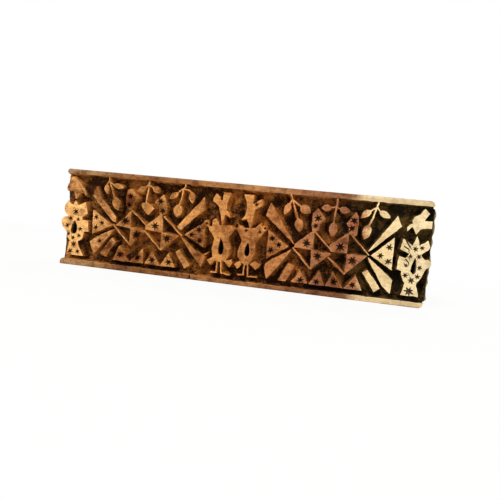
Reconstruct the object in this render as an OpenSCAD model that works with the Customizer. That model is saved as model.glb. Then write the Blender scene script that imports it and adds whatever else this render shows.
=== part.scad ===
// Hand-carved wooden border block for printing cloth. It stands on its lower long side,
// with the printing face towards -Y and the handle towards +Y, in millimetres.

/* [Block] */
// Length of the block, along the printed border
block_l = 223; // [190:1:280]
// Height of the printing face
block_h = 60; // [50:1:80]
// Thickness of the carved face board, with its carving
face_t = 22; // [16:0.5:30]
// Depth of the ground below the printing surface
relief_d = 6.5; // [3:0.5:9]

/* [Backing] */
// Thickness of the three core boards, whose grain runs upright
core_t = 11; // [8:0.5:18]
// Width of the middle core board without its tongues
core_middle_w = 76; // [50:1:100]
// Thickness of the tongues
tongue_t = 4; // [2.5:0.5:5]
// Reach of the tongues into the side boards
tongue_w = 5; // [3:0.5:8]
// Space left at the bottom of each groove for glue
glue_gap = 0.4; // [0.2:0.1:1]
// Thickness of the back board
back_t = 12; // [8:0.5:18]

/* [Dowels] */
// Diameter of the dowels that pin the three layers together
dowel_d = 8; // [5:0.5:10]
// Reach of the dowels into the face board
dowel_reach = 9; // [4:0.5:12]
// Distance of the dowels from the ends of the block
dowel_inset = 17; // [12:0.5:25]
// Distance of the dowels from the long sides of the block
dowel_edge = 13; // [8:0.5:20]

/* [Handle] */
// Length of the handle with its tabs
handle_l = 128; // [110:1:150]
// Width of the handle
handle_w = 30; // [24:1:38]
// Height of the grip above the back board
handle_h = 28; // [24:1:36]
// Length of the grip between the tabs
grip_l = 84; // [70:1:90]
// Thickness of the tabs that take the screws
tab_t = 10; // [8:0.5:14]
// Radius of the hollow that rises from each tab to the grip
rise_r = 10; // [4:0.5:12]
// Rounding of the grip's outer edges
grip_r = 6; // [3:0.5:8]
// Rounding of the handle's corners, seen from the back
corner_r = 8; // [3:0.5:10]
// Length of the finger grooves without their round ends
groove_l = 58; // [40:1:62]
// Radius of the finger grooves
groove_r = 8; // [5:0.5:9]
// Depth of the finger grooves in the sides of the handle
groove_d = 6; // [4:0.5:7]

/* [Handle screws] */
// Diameter of the screws
screw_d = 5; // [3:0.5:6]
// Length of the screws with their heads
screw_l = 31; // [24:0.5:34]
// Diameter of the countersunk heads
screw_head_d = 9.5; // [8:0.5:12]
// Height of the countersunk heads
screw_head_h = 3; // [2:0.5:4]
// Length of the screws' points
screw_point_l = 5; // [3:0.5:8]
// Width of the driver slots
slot_w = 1.2; // [0.8:0.1:1.8]
// Depth of the driver slots
slot_d = 1.4; // [0.8:0.1:1.8]

/* [Carving] */
// Width of the border rails
rail_w = 3.2; // [2:0.1:4.5]
// Distance of the rails' tips from the ends of the block
rail_inset = 1.5; // [0.5:0.1:4]
// Width of the stems, legs and thin diagonals
line_w = 1.1; // [0.8:0.1:1.6]
// Radius of the star punch
star_r = 1.9; // [1.2:0.1:2.2]
// Share of the radius at which the star's hollows lie
star_waist = 0.45; // [0.3:0.05:0.7]
// Depth of the punched stars
star_d = 2.5; // [1:0.25:3]

/* [Hidden] */
$fn = 64;

// Planes from the printing surface to the back of the grip, with the origin halfway
overall_d = face_t + core_t + back_t + handle_h;
face_y = -overall_d / 2;
ground_y = face_y + relief_d;
core_y = face_y + face_t;
back_y = core_y + core_t;
seat_y = back_y + back_t;
// How far cutting shapes run past the faces that they open
past = 1;
screw_x = (handle_l + grip_l) / 4 + rise_r / 4;
dowel_x = block_l / 2 - dowel_inset;

// The pattern is squared up: its outlines count the squares of a transfer grid that fills
// the face, so that they follow its length and height. Points are [squares from the middle,
// squares from the lower edge], or from the block's end or a motif's own line where said.
grid_columns = 223;
grid_rows = 60;
square_l = block_l / grid_columns;
square_h = block_h / grid_rows;
end_column = grid_columns / 2;
panel_columns = [-54.6, 56.2];
hub_column = 21;
hub_row = 27;
vase_column = 8;

// From the end of the block
END_VASE = [[3.5, 40], [7, 37.6], [8.5, 40.4], [11, 37.6], [15.5, 40], [17.5, 33.2], [13.8, 30.2],
    [14.5, 28.8], [18.3, 28.3], [18.9, 21.8], [16.1, 21.5], [15.1, 16.8], [12.5, 15.3], [13.5, 12],
    [17, 6.5], [5.5, 6.5], [7.1, 15.2], [5.3, 17.5], [4.2, 21], [1, 24], [0.4, 26], [0.6, 28.3],
    [2, 29.8], [5.3, 30], [2.1, 33], [1.5, 36]];
END_VASE_STARS = [[9.4, 33.5], [4.6, 24.8], [13.4, 23.4], [6.9, 18.4], [12.4, 18.8], [9.8, 12.6],
    [8.4, 8.9], [12.8, 8.9]];
END_VASE_DROP = [9.3, 22.2];
END_BIRD = [[6.7, 55.3], [3.5, 53.6], [6, 50.7], [2.3, 50.6], [2.2, 46.6], [6.8, 46.2], [8.5, 41.3],
    [10.1, 43.2], [11.5, 45.2], [13.3, 46], [15.2, 44], [15.2, 45.8], [13.8, 48.2], [12, 50],
    [11.4, 51.2]];

// From the upright line of a centre vase
CENTRE_VASE = [[-9, 33.3], [-6.5, 33.6], [-6.7, 37], [-5, 38.3], [-3, 36], [-2.4, 34.7], [5.5, 35],
    [6.3, 32.5], [4, 28.5], [4, 26], [5.2, 22], [5.2, 18], [3.2, 14], [0, 12.8], [-2.5, 13],
    [-4.2, 15], [-5.5, 20], [-4.7, 26.8], [-8, 31]];
CENTRE_VASE_DROP = [-0.2, 20.5];
CENTRE_BIRD = [[-6, 53], [-7.5, 50], [-7.5, 48.5], [-4, 45.8], [-2.2, 40.5], [-0.9, 34.4], [0, 37.5],
    [0.5, 41.5], [3.5, 40], [3, 42], [1.7, 43.8], [1.3, 48], [2.4, 54.2], [-1.5, 54.2], [-2, 49.5],
    [-2.7, 49], [-3.7, 51]];
VASE_LOZENGES = [[[-7.7, 13], [-3.4, 15.8], [-1.8, 14], [-5.5, 10.3]],
    [[2.2, 14.3], [7.2, 14.9], [7.6, 13], [6, 10.4], [2.4, 13.2]]];
VASE_LEGS = [[[-1.5, 14], [-1.5, 6.4], [-4.5, 6.3]], [[0.9, 14], [1.5, 6.4], [6, 6.2]]];

// From a hub: outwards, and up from the hub's row
FAN_TRIANGLE = [[1.6, 0.3], [14.5, 9], [14.5, -7.5]];
FAN_TRIANGLE_STARS = [[12.2, 4.3], [7.9, 0.6], [12.2, -2.8]];
FAN_UPPER_RAY = [[0.2, 1.6], [13.8, 23.2], [16, 17.3], [1.4, 2]];
FAN_LOWER_RAY = [[-0.4, -0.8], [0.6, -0.9], [10, -8], [15, -12], [13, -19.5], [8, -14], [0.2, -3]];
FAN_LOWER_RAY_STAR = [10.4, -11.4];
FAN_BAR = [[0.5, -9], [-1.8, -10.5], [5, -19.7], [8, -18]];

// From the left corner of each triangle
UP_TRIANGLE = [[0, 28.2], [0, 26.4], [9.8, 26.6], [9.8, 37.8]];
UP_TRIANGLE_STAR = [6.6, 29.7];
DOWN_TRIANGLE = [[0, 27.5], [10.8, 27.2], [10.8, 25.6], [0.2, 15.5]];
DOWN_TRIANGLE_STAR = [3.5, 23.2];
FOOT_TRIANGLE = [[0, 6.2], [9.7, 6.2], [4.8, 14.5]];
FOOT_TRIANGLE_STAR = [4.8, 8.9];
up_columns = [-20.6, -1.2];
down_columns = [-11, 9];
foot_columns = [-20, -10, 0, 10];

// From the middle of a panel, for the left and the right panel
LOZENGES = [[
    [[-12.5, 51.2], [-7, 45.8], [-10.2, 42.6], [-10, 38.6], [-11.6, 36.4], [-14.8, 40.4],
        [-15.3, 46], [-14.6, 50.2]],
    [[8.3, 50], [3.3, 44.5], [6.3, 41.8], [6.5, 38.5], [8.4, 36.4], [11, 39], [11.6, 43], [10.3, 48]]
], [
    [[-9.6, 50], [-4.9, 44.5], [-7.9, 41.5], [-8.6, 38], [-10, 36.6], [-11.4, 36.2], [-12.4, 40],
        [-12.1, 47]],
    [[11.9, 50], [7.1, 43.4], [8.9, 40], [8, 36.6], [12, 36], [13.4, 37.5], [13.9, 44], [12.9, 48]]
]];
LOZENGE_STARS = [[[-12.2, 46.3], [-12.4, 41.2], [7.2, 45], [8.9, 40.1]],
    [[-9.1, 44.6], [-10.3, 39.9], [10.9, 45.4], [11, 40.2]]];
DIAGONALS = [[[-22.9, 28.6], [-10.4, 16.4]], [[-1.5, 26.2], [9.6, 16.4]],
    [[-11.3, 38.2], [0.6, 29]], [[9.3, 37], [20.9, 26.5]]];

// The sprigs of the left and the right panel, from the middle of the panel. Each has its stem,
// its branches, and its leaves as [base, tip, width].
SPRIGS = [[
    [[[-27, 58], [-26.5, 54.6], [-24.8, 50.3], [-22.6, 44]],
        [[[-26.5, 54.6], [-28.9, 51.8]], [[-26.3, 53.8], [-23, 52.2]]],
        [[[-28.7, 52.6], [-28, 46.4], 3.2], [[-24.2, 52.4], [-17.6, 51.2], 3.2],
            [[-22.8, 45.2], [-20, 36.6], 5]]],
    [[[-1.2, 58], [-0.8, 54.8], [-1.5, 43]],
        [[[-0.8, 54.8], [-4, 52.3]], [[-0.6, 54], [1.6, 52.8]]],
        [[[-3, 53], [-8.8, 49.4], 3.2], [[0.8, 53.4], [5.8, 50.2], 3.6],
            [[-1.8, 44.4], [-0.4, 35.8], 7.4]]],
    [[[21.6, 58], [22, 55.6], [20.9, 54], [20, 48], [18.8, 43.4]],
        [[[20.9, 54], [16.8, 51]], [[20.9, 53.4], [23.8, 53], [25.8, 51.2]]],
        [[[17.6, 51.6], [12.4, 47.2], 3.4], [[25.4, 52.8], [26.6, 45.6], 4],
            [[18.9, 44.6], [17.6, 36.4], 5.4]]]
], [
    [[[-27.2, 58], [-25.2, 54], [-22.4, 46.4], [-20.8, 42.4]],
        [[[-25.4, 53.4], [-26.4, 50.6]], [[-25.2, 53.6], [-21.2, 51], [-19, 50]]],
        [[[-25.8, 52], [-28.8, 44.4], 4], [[-20, 50.6], [-13.8, 47], 5],
            [[-20.2, 44], [-18.8, 35.4], 4.8]]],
    [[[0.6, 58], [0.9, 55], [0.4, 51], [-0.2, 42]],
        [[[0.5, 52], [-3, 51.2]], [[0.5, 52], [3, 50.6]]],
        [[[-1.8, 51.2], [-6.8, 50.4], 3.4], [[2, 51], [8.6, 50], 3.8],
            [[-0.2, 43.4], [-0.2, 34.2], 4.4]]],
    [[[23.8, 58], [23, 54.6], [21.2, 47.4], [19.8, 43]],
        [[[22.8, 53.8], [19, 51]], [[23, 54], [24.8, 51.4]]],
        [[[20, 52], [14.4, 46.8], 3.6], [[24.2, 52], [30.6, 48.4], 3.6],
            [[19.8, 44.2], [17.8, 35], 4.6]]]
]];
// Where a leaf's outline has its points, as shares of its length
LEAF_STEPS = [0.12, 0.3, 0.5, 0.75];

// Points in millimetres from points in squares, moved along and turned over if wanted
function squared(points, column = 0, row = 0, side = 1) =
    [for (p = points) [(column + side * p[0]) * square_l, (row + p[1]) * square_h]];

// A pointed oval from its base to its tip, in squares
function leaf(base, tip, width) =
    let (along = tip - base, across = [-along[1], along[0]] * width / 2 / norm(along))
    concat([base], [for (t = LEAF_STEPS) base + t * along + pow(sin(180 * t), 0.7) * across], [tip],
        [for (i = [len(LEAF_STEPS) - 1 : -1 : 0])
            base + LEAF_STEPS[i] * along - pow(sin(180 * LEAF_STEPS[i]), 0.7) * across]);

module motif(points, column = 0, row = 0, side = 1) polygon(squared(points, column, row, side));

// A line of even width through the points, with square ends and sharp turns
module line(points, column = 0, row = 0, side = 1) {
    path = squared(points, column, row, side);
    last = len(path) - 1;
    runs = [for (i = [1 : last]) (path[i] - path[i - 1]) / norm(path[i] - path[i - 1])];
    turns = [for (i = [0 : last])
        let (before = runs[max(i - 1, 0)], after = runs[min(i, last - 1)], both = before + after)
        [-both[1], both[0]] * line_w / 2 / (1 + before * after)];
    polygon(concat([for (i = [0 : last]) path[i] + turns[i]],
        [for (i = [last : -1 : 0]) path[i] - turns[i]]));
}

// A six-pointed star with one point up
module star(place, column = 0, row = 0, side = 1) {
    rays = 6;
    translate(squared([place], column, row, side)[0])
        polygon([for (i = [0 : 2 * rays - 1])
            (i % 2 == 0 ? 1 : star_waist) * star_r * [sin(180 * i / rays), cos(180 * i / rays)]]);
}

// The hole in a vase: round below and pointed above
module teardrop(place, column, side) {
    drop_r = 1.9;
    drop_h = 5.8;
    translate(squared([place], column, 0, side)[0]) {
        circle(r = drop_r);
        polygon([[-0.9 * drop_r, 0.29 * drop_r], [0.9 * drop_r, 0.29 * drop_r], [0, drop_h]]);
    }
}

// A rail along the lower side, with its two outer corners cut off
module rail() {
    tip = block_l / 2 - rail_inset;
    cut = rail_w / 2;
    polygon([[cut - tip, 0], [tip - cut, 0], [tip, cut], [tip, rail_w], [-tip, rail_w], [-tip, cut]]);
}

module sprig(parts, column) {
    line(parts[0], column);
    for (branch = parts[1]) line(branch, column);
    for (l = parts[2]) motif(leaf(l[0], l[1], l[2]), column);
}

module fan(column, side) {
    for (outline = [FAN_TRIANGLE, FAN_UPPER_RAY, FAN_LOWER_RAY, FAN_BAR])
        motif(outline, column + side * hub_column, hub_row, side);
}

module panel(i) {
    column = panel_columns[i];
    for (side = [-1, 1]) fan(column, side);
    for (x = up_columns) motif(UP_TRIANGLE, column + x);
    for (x = down_columns) motif(DOWN_TRIANGLE, column + x);
    for (x = foot_columns) motif(FOOT_TRIANGLE, column + x);
    for (lozenge = LOZENGES[i]) motif(lozenge, column);
    for (diagonal = DIAGONALS) line(diagonal, column);
    for (parts = SPRIGS[i]) sprig(parts, column);
}

module end_motifs(side) {
    difference() {
        motif(END_VASE, -side * end_column, 0, side);
        teardrop(END_VASE_DROP, -side * end_column, side);
    }
    motif(END_BIRD, -side * end_column, 0, side);
}

module centre_motifs(side) {
    difference() {
        motif(CENTRE_VASE, -side * vase_column, 0, side);
        teardrop(CENTRE_VASE_DROP, -side * vase_column, side);
    }
    motif(CENTRE_BIRD, -side * vase_column, 0, side);
    for (lozenge = VASE_LOZENGES) motif(lozenge, -side * vase_column, 0, side);
    for (leg = VASE_LEGS) line(leg, -side * vase_column, 0, side);
}

// Everything that prints, seen from the front
module printing_surface() {
    rail();
    translate([0, block_h]) mirror([0, 1]) rail();
    for (i = [0, 1]) panel(i);
    for (side = [-1, 1]) {
        end_motifs(side);
        centre_motifs(side);
    }
}

module panel_stars(i) {
    column = panel_columns[i];
    for (side = [-1, 1]) {
        for (place = FAN_TRIANGLE_STARS) star(place, column + side * hub_column, hub_row, side);
        star(FAN_LOWER_RAY_STAR, column + side * hub_column, hub_row, side);
    }
    for (x = up_columns) star(UP_TRIANGLE_STAR, column + x);
    for (x = down_columns) star(DOWN_TRIANGLE_STAR, column + x);
    for (x = foot_columns) star(FOOT_TRIANGLE_STAR, column + x);
    for (place = LOZENGE_STARS[i]) star(place, column);
}

module stars() {
    for (i = [0, 1]) panel_stars(i);
    for (side = [-1, 1], place = END_VASE_STARS) star(place, -side * end_column, 0, side);
}

// A drawing in X and Z made into a layer from one Y to another
module layer(from_y, to_y) {
    translate([0, to_y, 0]) rotate([90, 0, 0]) linear_extrude(to_y - from_y) children();
}

// A rectangular board from one corner to the opposite one
module board(corner, opposite) {
    translate(corner) cube(opposite - corner);
}

// A dowel's space, in the corner given by its sides
module dowel(side_x, side_z) {
    translate([side_x * dowel_x, seat_y, block_h / 2 + side_z * (block_h / 2 - dowel_edge)])
        rotate([90, 0, 0]) cylinder(d = dowel_d, h = back_t + core_t + dowel_reach);
}

module all_dowels() {
    for (side_x = [-1, 1], side_z = [-1, 1]) dowel(side_x, side_z);
}

// A screw without its slot, head outwards and flush with the tab
module screw_space(side) {
    translate([side * screw_x, seat_y + tab_t, block_h / 2]) rotate([90, 0, 0])
        rotate_extrude() polygon([[0, 0], [screw_head_d / 2, 0], [screw_d / 2, screw_head_h],
            [screw_d / 2, screw_l - screw_point_l], [0, screw_l]]);
}

module both_screws() {
    for (side = [-1, 1]) screw_space(side);
}

module face_board() {
    color("peru") difference() {
        union() {
            board([-block_l / 2, ground_y, 0], [block_l / 2, core_y, block_h]);
            layer(face_y, ground_y) printing_surface();
        }
        layer(face_y - past, face_y + star_d) stars();
        all_dowels();
    }
}

// The groove in a side board, open towards the middle board
module tongue_space(side, reach) {
    tongue_y = core_y + (core_t - tongue_t) / 2;
    edge = side * core_middle_w / 2;
    far = edge + side * reach;
    board([min(edge, far), tongue_y, 0], [max(edge, far), tongue_y + tongue_t, block_h]);
}

module core_board_side(side) {
    inner = side * core_middle_w / 2;
    outer = side * block_l / 2;
    color("burlywood") difference() {
        board([min(inner, outer), core_y, 0], [max(inner, outer), back_y, block_h]);
        tongue_space(side, tongue_w + glue_gap);
        all_dowels();
        both_screws();
    }
}

module core_board_middle() {
    color("burlywood") difference() {
        union() {
            board([-core_middle_w / 2, core_y, 0], [core_middle_w / 2, back_y, block_h]);
            for (side = [-1, 1]) tongue_space(side, tongue_w);
        }
        both_screws();
        all_dowels();
    }
}

module back_board() {
    color("sienna") difference() {
        board([-block_l / 2, back_y, 0], [block_l / 2, seat_y, block_h]);
        all_dowels();
        both_screws();
    }
}

// A rectangle standing on the line y = 0, with its upper corners rounded
module arch(width, height, radius) {
    translate([-width / 2, 0]) square([width, height - radius]);
    translate([radius - width / 2, 0]) square([width - 2 * radius, height]);
    for (x = [radius - width / 2, width / 2 - radius]) translate([x, height - radius]) circle(radius);
}

// The handle seen from above: two tabs, and hollow rises to the grip
module handle_profile() {
    translate([-handle_l / 2, 0]) square([handle_l, tab_t]);
    arch(grip_l, handle_h, grip_r);
    for (side = [-1, 1]) difference() {
        translate([side * (grip_l + rise_r) / 2, tab_t + rise_r / 2]) square(rise_r, center = true);
        translate([side * (grip_l / 2 + rise_r), tab_t + rise_r]) circle(rise_r);
    }
}

// The handle seen from behind: a rectangle with round corners
module handle_plan() {
    arch(handle_l, handle_w / 2, corner_r);
    mirror([0, 1]) arch(handle_l, handle_w / 2, corner_r);
}

module finger_groove(side) {
    groove_y = tab_t;
    translate([0, groove_y, side * (handle_w / 2 + groove_r - groove_d)]) {
        rotate([0, 90, 0]) cylinder(r = groove_r, h = groove_l, center = true);
        for (x = [-groove_l / 2, groove_l / 2]) translate([x, 0, 0]) sphere(groove_r);
    }
}

module handle() {
    color("saddlebrown") difference() {
        translate([0, seat_y, block_h / 2]) difference() {
            intersection() {
                translate([0, 0, -handle_w / 2]) linear_extrude(handle_w) handle_profile();
                rotate([90, 0, 90]) translate([0, 0, -handle_l / 2]) linear_extrude(handle_l)
                    rotate(-90) arch(handle_w, handle_h, grip_r);
                translate([0, handle_h, 0]) rotate([90, 0, 0]) linear_extrude(handle_h) handle_plan();
            }
            for (side = [-1, 1]) finger_groove(side);
        }
        both_screws();
    }
}

module handle_screw(side) {
    color("dimgray") difference() {
        screw_space(side);
        translate([side * screw_x, seat_y + tab_t, block_h / 2]) rotate([0, 30, 0])
            cube([screw_head_d + past, 2 * slot_d, slot_w], center = true);
    }
}

module one_dowel(side_x, side_z) {
    color("tan") dowel(side_x, side_z);
}

face_board();
core_board_side(-1);  // core_board_left
core_board_middle();
core_board_side(1);  // core_board_right
back_board();
handle();
handle_screw(-1);  // handle_screw_left
handle_screw(1);  // handle_screw_right
one_dowel(-1, 1);  // dowel_upper_left
one_dowel(1, 1);  // dowel_upper_right
one_dowel(-1, -1);  // dowel_lower_left
one_dowel(1, -1);  // dowel_lower_right
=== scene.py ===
# A hand-carved wooden border block for printing cloth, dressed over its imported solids.
import math

import bmesh
import bpy
import numpy as np
from mathutils import Euler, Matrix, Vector

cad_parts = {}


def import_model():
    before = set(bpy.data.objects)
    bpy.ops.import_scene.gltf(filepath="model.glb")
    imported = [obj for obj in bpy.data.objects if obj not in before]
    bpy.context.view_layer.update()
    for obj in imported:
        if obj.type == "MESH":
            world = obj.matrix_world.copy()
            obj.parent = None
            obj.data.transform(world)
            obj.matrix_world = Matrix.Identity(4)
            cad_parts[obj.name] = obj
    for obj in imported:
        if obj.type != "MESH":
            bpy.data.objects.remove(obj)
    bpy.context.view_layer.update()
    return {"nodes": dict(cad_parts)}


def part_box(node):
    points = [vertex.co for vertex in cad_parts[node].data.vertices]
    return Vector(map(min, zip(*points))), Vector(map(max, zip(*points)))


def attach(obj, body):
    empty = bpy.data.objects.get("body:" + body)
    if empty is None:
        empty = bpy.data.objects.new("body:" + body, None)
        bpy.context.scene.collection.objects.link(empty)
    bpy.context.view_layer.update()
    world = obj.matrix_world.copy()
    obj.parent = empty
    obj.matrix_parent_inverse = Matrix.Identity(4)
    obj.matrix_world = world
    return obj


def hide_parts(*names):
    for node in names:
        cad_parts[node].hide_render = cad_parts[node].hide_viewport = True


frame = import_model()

MM = 0.001

# Planes of the block, from its solids
face_low, face_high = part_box("face_board")
FACE_Y = face_low.y
BACK_OF_FACE_Y = face_high.y
SEAT_Y_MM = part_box("back_board")[1].y / MM
HALF_LENGTH_MM = (face_high.x - face_low.x) / 2 / MM
HEIGHT_MM = face_high.z / MM

# The carving is measured along the face, from the left tips of its rails
RULE_START_MM = -110.2
RULE_END_MM = 221

# Camera, light and floor
CAMERA_PLACE_MM = (40.0, -261.0, 29.7)
CAMERA_TURN_DEGREES = (88.0, -6.19, 7.88)
FOCAL_LENGTH_IN_WIDTHS = 385 / 500
SENSOR_MM = 36
LAMP_TARGET = (0, 0, 0.03)
FLOOR_REACH = 3.0


def put_in_scene(name, data):
    holder = bpy.data.objects.new(name, data)
    bpy.context.scene.collection.objects.link(holder)
    return holder


def place_camera():
    lens = bpy.data.cameras.new("camera")
    lens.sensor_width = SENSOR_MM
    lens.lens = FOCAL_LENGTH_IN_WIDTHS * SENSOR_MM
    lens.clip_start = 0.01
    camera = put_in_scene("camera", lens)
    camera.location = Vector(CAMERA_PLACE_MM) * MM
    camera.rotation_euler = Euler([math.radians(a) for a in CAMERA_TURN_DEGREES])
    bpy.context.scene.camera = camera


def add_lamp(name, place, size, watts, tint=(1, 1, 1)):
    lamp = bpy.data.lights.new(name, "AREA")
    lamp.shape = "DISK"
    lamp.size = size
    lamp.energy = watts
    lamp.color = tint
    holder = put_in_scene(name, lamp)
    holder.location = place
    aim = Vector(LAMP_TARGET) - Vector(place)
    holder.rotation_euler = aim.to_track_quat("-Z", "Y").to_euler()


def srgb(*levels):
    """A colour given as it looks on screen, from 0 to 255, as shader nodes want it."""
    shares = [level / 255 for level in levels]
    return (*(c / 12.92 if c <= 0.04045 else ((c + 0.055) / 1.055) ** 2.4 for c in shares), 1)


def below(mm):
    """How far back in the scene a depth below the printing surface is."""
    return FACE_Y + mm * MM


def at_rule(mm):
    """Where in the scene a distance from the left tips of the rails is."""
    return (mm + RULE_START_MM) * MM


class Nodes:
    """A tree of nodes, added one by one. A socket given as a value is linked."""

    def __init__(self, tree):
        self.tree = tree
        tree.nodes.clear()

    def node(self, kind, inputs=None, **settings):
        made = self.tree.nodes.new(kind)
        for key, value in settings.items():
            setattr(made, key, value)
        for key, value in (inputs or {}).items():
            self.put(made.inputs[key], value)
        return made

    def put(self, socket, value):
        if isinstance(value, bpy.types.NodeSocket):
            self.tree.links.new(value, socket)
        else:
            socket.default_value = value

    def add(self, kind, inputs=None, out=0, family="ShaderNode", **settings):
        return self.node(family + kind, inputs, **settings).outputs[out]

    def math(self, operation, a, b=0.0, clamp=False):
        return self.add("Math", {0: a, 1: b}, operation=operation, use_clamp=clamp)

    def products(self, *pairs):
        """The sum of each pair's product."""
        total, *others = [self.math("MULTIPLY", a, b) for a, b in pairs]
        for other in others:
            total = self.math("ADD", total, other)
        return total

    def axes(self, vector):
        return self.node("ShaderNodeSeparateXYZ", {0: vector}).outputs

    def seen_directly(self):
        """1 for what the camera sees itself or in a reflection, 0 where it only lights others."""
        path = self.node("ShaderNodeLightPath").outputs
        share = self.math("MAXIMUM", path["Is Camera Ray"], path["Is Glossy Ray"])
        return self.math("MAXIMUM", share, path["Is Transmission Ray"])


class Recipe(Nodes):
    """A material's nodes."""

    def __init__(self, name):
        self.material = bpy.data.materials.new(name)
        self.material.use_nodes = True
        super().__init__(self.material.node_tree)
        self.output = self.node("ShaderNodeOutputMaterial").inputs["Surface"]

    def place(self):
        return self.add("TexCoord", out="Object")

    def attribute(self, name):
        return self.add("Attribute", attribute_name=name, out="Fac")

    def vector(self, operation, vector, by=(0, 0, 0), out=0):
        return self.add("VectorMath", {0: vector, 1: by}, out, operation=operation)

    def scaled(self, vector, x, y, z):
        return self.vector("MULTIPLY", vector, (x, y, z))

    def length(self, vector):
        return self.vector("LENGTH", vector, out="Value")

    def noise(self, vector, scale, detail, rough, distortion=0.0):
        return self.add("TexNoise", {
            "Vector": vector, "Scale": scale, "Detail": detail, "Roughness": rough,
            "Distortion": distortion})

    def between(self, value, low, high, to_low=0.0, to_high=1.0, smooth=False):
        sockets = {"Value": value, "From Min": low, "From Max": high, "To Min": to_low,
                   "To Max": to_high}
        curve = "SMOOTHSTEP" if smooth else "LINEAR"
        return self.add("MapRange", sockets, interpolation_type=curve)

    def mix(self, share, a, b, blend="MIX"):
        return self.add("Mix", {0: share, 6: a, 7: b}, 2,
                        data_type="RGBA", blend_type=blend, clamp_factor=True)

    def tinted(self, colour, share, tint):
        return self.mix(share, colour, self.mix(1.0, colour, (*tint, 1), "MULTIPLY"))

    def mottled(self, colour, *rows):
        """The colour, tinted where each row's value goes from low to high, by at most its share."""
        for value, low, high, most, tint in rows:
            colour = self.tinted(colour, self.between(value, low, high, 0, most), tint)
        return colour

    def ramp(self, value, stops):
        node = self.node("ShaderNodeValToRGB", {0: value})
        elements = node.color_ramp.elements
        while len(elements) > 1:
            elements.remove(elements[0])
        elements[0].position, elements[0].color = stops[0]
        for position, colour in stops[1:]:
            elements.new(position).color = colour
        return node.outputs[0]

    def bump(self, height, distance, strength):
        return self.add("Bump", {"Height": height, "Distance": distance, "Strength": strength})

    def finish(self, **inputs):
        """The material, with one shader whose sockets are given by name."""
        inputs = {name.replace("_", " "): value for name, value in inputs.items()}
        self.put(self.output, self.add("BsdfPrincipled", inputs))
        return self.material


def paper_white(name):
    """A pale matt floor that looks white to the camera and in reflections, and keeps the shadows
    near the block."""
    r = Recipe(name)
    shown = r.between(r.length(r.place()), 0.3, 1.2, 0.92, 1.0)
    diffuse = r.add("BsdfDiffuse", {"Color": (0.82, 0.82, 0.82, 1)})
    glow = r.add("Emission", {"Color": (1, 1, 1, 1), "Strength": 1.0})
    share = r.math("MULTIPLY", r.seen_directly(), shown)
    r.put(r.output, r.add("MixShader", {0: share, 1: diffuse, 2: glow}))
    return r.material


def make_object(name, vertices, faces, material):
    mesh = bpy.data.meshes.new(name)
    mesh.from_pydata(vertices, [], faces)
    mesh.update()
    mesh.materials.append(material)
    return put_in_scene(name, mesh)


def make_stage():
    """A flat floor under the block, in a pale room with three lamps."""
    corners = [(a * FLOOR_REACH, b * FLOOR_REACH, 0)
               for a, b in ((-1, -1), (1, -1), (1, 1), (-1, 1))]
    floor = make_object("floor", corners, [(0, 1, 2, 3)], paper_white("floor_paper"))
    world = bpy.data.worlds.new("room")
    bpy.context.scene.world = world
    world.use_nodes = True
    nodes = Nodes(world.node_tree)
    room = nodes.add("Background", {"Color": (1.0, 0.97, 0.93, 1), "Strength": 0.4})
    shown = nodes.add("Background", {"Color": (1, 1, 1, 1), "Strength": 1.0})
    both = nodes.add("MixShader", {0: nodes.seen_directly(), 1: room, 2: shown})
    nodes.node("ShaderNodeOutputWorld", {"Surface": both})
    add_lamp("key", (-0.3, -0.6, 0.75), size=0.3, watts=6.2, tint=(1.0, 0.96, 0.9))
    add_lamp("fill", (0.8, -0.6, 0.35), size=0.8, watts=2.6)
    add_lamp("back", (0.3, 0.8, 0.7), size=0.8, watts=6.0)


# The carving. Outlines of what prints, in millimetres: along the face from the left tips of the
# rails, and up from the lower side

RAILS = [
    [(1.7, 61), (1.4, 60.3), (0.3, 59.4), (0, 58.3), (0.7, 57.2), (5, 57.2), (55, 57),
     (90, 56.9), (150, 56.8), (190, 57), (219.7, 57.1), (220, 58), (219.2, 59.4), (217.5, 60.4),
     (217.5, 61)],
    [(0.4, -1), (0, 1.2), (0.5, 3.2), (5, 3.6), (15, 3.6), (40, 3.3), (60, 3.2), (85, 3.2),
     (90, 2.8), (130, 2.8), (160, 3), (219.9, 3.1), (219.4, 1.4), (217, -0.3), (216.8, -1)]]

BIRDS = [
    [(5.2, 55.3), (3.8, 54.8), (2, 53.6), (2.7, 52.3), (4.5, 50.6), (1.5, 50.7), (0.7, 48),
     (1, 46.6), (5.3, 46.2), (6, 45), (7, 41.5), (8.6, 43), (10, 45.3), (12, 46), (13.6, 44),
     (13.8, 45.5), (12.5, 48), (10.5, 50), (10, 51)],
    [(96.5, 53), (95, 50), (95, 48.5), (98.5, 45.8), (100.3, 40.5), (101.8, 34), (102.5, 40),
     (103, 41.5), (106, 39.7), (105.4, 42), (103.7, 43.8), (103.4, 47.5), (104.9, 54.2),
     (101, 54.2), (100.5, 49.5), (99.8, 49), (98.8, 51)],
    [(113.3, 54.2), (118.8, 54.2), (118.7, 50), (119.3, 49), (121.5, 50.8), (123.5, 52),
     (125, 49.3), (123, 47.8), (120.5, 45.8), (119.8, 42), (118.5, 34), (117.5, 37.5), (116, 40),
     (113, 39), (115, 42.5), (115.5, 46), (115, 49.5)],
    [(215, 55.2), (217.5, 53), (216.5, 51.3), (215.2, 48.7), (219.6, 48.8), (219.7, 45),
     (214.7, 44.4), (213.5, 43.8), (211.8, 41), (210, 44.3), (209.3, 45), (206.7, 42),
     (206.7, 44.5), (208, 46), (209.3, 46.8), (209, 48.5), (210, 50.5), (213, 52.3),
     (214.2, 54.5)]]

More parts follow.
